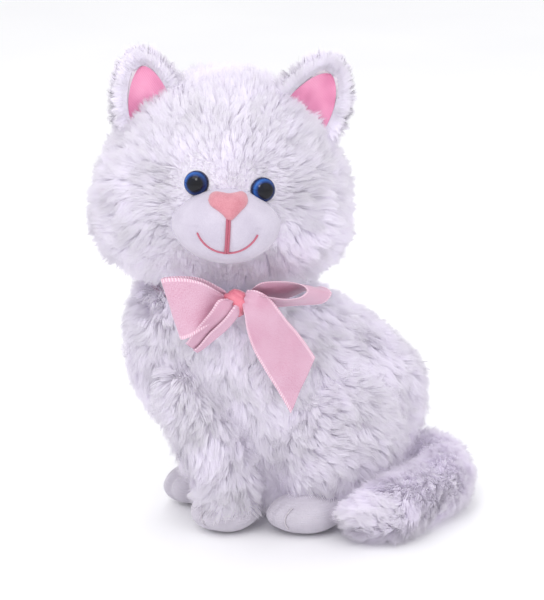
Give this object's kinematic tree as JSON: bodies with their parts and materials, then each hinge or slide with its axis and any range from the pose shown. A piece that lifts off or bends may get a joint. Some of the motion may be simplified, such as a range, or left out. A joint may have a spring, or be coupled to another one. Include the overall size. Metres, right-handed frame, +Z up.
{
  "type": "plush cat",
  "caption": "Sitting long-pile plush cat with a turned head, glossy blue eyes, a short-pile muzzle, a sheer ribbon bow and a tail curled round its haunch",
  "frame": {"origin": "on the floor, at the middle of the flat seat face under the body", "axes": "+Z up, -Y the way the chest faces, +X the cat's left"},
  "size_m": [0.1362, 0.1904, 0.2391],
  "materials": {
    "long_pile": "long-pile plush",
    "short_pile": "short-pile velour",
    "stuffing": "polyester fibre",
    "pellets": "cloth bag of plastic pellets",
    "thread": "embroidery thread",
    "white_thread": "sewing thread",
    "nose_cloth": "brushed knit",
    "ear_satin": "satin",
    "ribbon": "sheer organza",
    "eye_clear": "glossy dome",
    "eye_blue": "printed iris",
    "washer": "moulded"
  },
  "bodies": {
    "torso": {"body_side_left": "long_pile", "body_side_right": "long_pile", "chest_panel": "long_pile", "seat_panel": "short_pile", "torso_stuffing": "stuffing", "pellet_bag": "pellets", "haunch_left": "long_pile", "haunch_right": "long_pile", "front_leg_left": "long_pile", "front_leg_right": "long_pile", "front_paw_left": "short_pile", "front_paw_right": "short_pile", "hind_paw_left": "short_pile", "hind_paw_right": "short_pile", "toe_stitches": "white_thread", "neck_band": "ribbon", "bow_knot": "ribbon", "bow_loop_left": "ribbon", "bow_loop_right": "ribbon"},
    "neck": {"neck_stuffing": "stuffing"},
    "head": {"head_side_left": "long_pile", "head_side_right": "long_pile", "head_gusset": "long_pile", "chin_panel": "long_pile", "head_stuffing": "stuffing", "muzzle_cover": "short_pile", "muzzle_stuffing": "stuffing", "nose": "nose_cloth", "mouth_stitch": "thread", "eye_dome_left": "eye_clear", "eye_dome_right": "eye_clear", "eye_iris_left": "eye_blue", "eye_iris_right": "eye_blue", "eye_washer_left": "washer", "eye_washer_right": "washer"},
    "ear_left": {"ear_back_left": "long_pile", "ear_lining_left": "ear_satin"},
    "ear_right": {"ear_back_right": "long_pile", "ear_lining_right": "ear_satin"},
    "tail": {"tail_cover": "long_pile", "tail_stuffing": "stuffing"},
    "ribbon_end_long": {"bow_tail_long": "ribbon"},
    "ribbon_end_short": {"bow_tail_short": "ribbon"}
  },
  "joints": [
    {"name": "head_turn", "type": "hinge", "parent": "torso", "child": "neck", "pos_m": [0, -0.042, 0.119], "axis": [0, 0, 1], "range_deg": [-20, 20], "stiffness_Nm_per_rad": 0.3},
    {"name": "head_nod", "type": "hinge", "parent": "neck", "child": "head", "pos_m": [0, -0.042, 0.122], "axis": [0.3256, 0.9455, 0], "range_deg": [-6, 6], "stiffness_Nm_per_rad": 0.8},
    {"name": "ear_fold_left", "type": "hinge", "parent": "head", "child": "ear_left", "pos_m": [0.01991, -0.00413, 0.21408], "axis": [0.2019, 0.8088, -0.5523], "range_deg": [-20, 30], "stiffness_Nm_per_rad": 0.003},
    {"name": "ear_fold_right", "type": "hinge", "parent": "head", "child": "ear_right", "pos_m": [-0.00492, -0.07479, 0.21797], "axis": [0.3661, 0.8071, 0.4632], "range_deg": [-20, 30], "stiffness_Nm_per_rad": 0.003},
    {"name": "tail_swing", "type": "hinge", "parent": "torso", "child": "tail", "pos_m": [0.004, 0.077, 0.0152], "axis": [0, 0, 1], "range_deg": [0, 45], "stiffness_Nm_per_rad": 0.05},
    {"name": "ribbon_lift_long", "type": "hinge", "parent": "torso", "child": "ribbon_end_long", "pos_m": [0.05567, -0.04463, 0.126], "axis": [-0.2079, -0.9781, 0], "range_deg": [0, 35], "stiffness_Nm_per_rad": 0.002},
    {"name": "ribbon_lift_short", "type": "hinge", "parent": "torso", "child": "ribbon_end_short", "pos_m": [0.05089, -0.06713, 0.127], "axis": [-0.2079, -0.9781, 0], "range_deg": [0, 35], "stiffness_Nm_per_rad": 0.002}
  ]
}
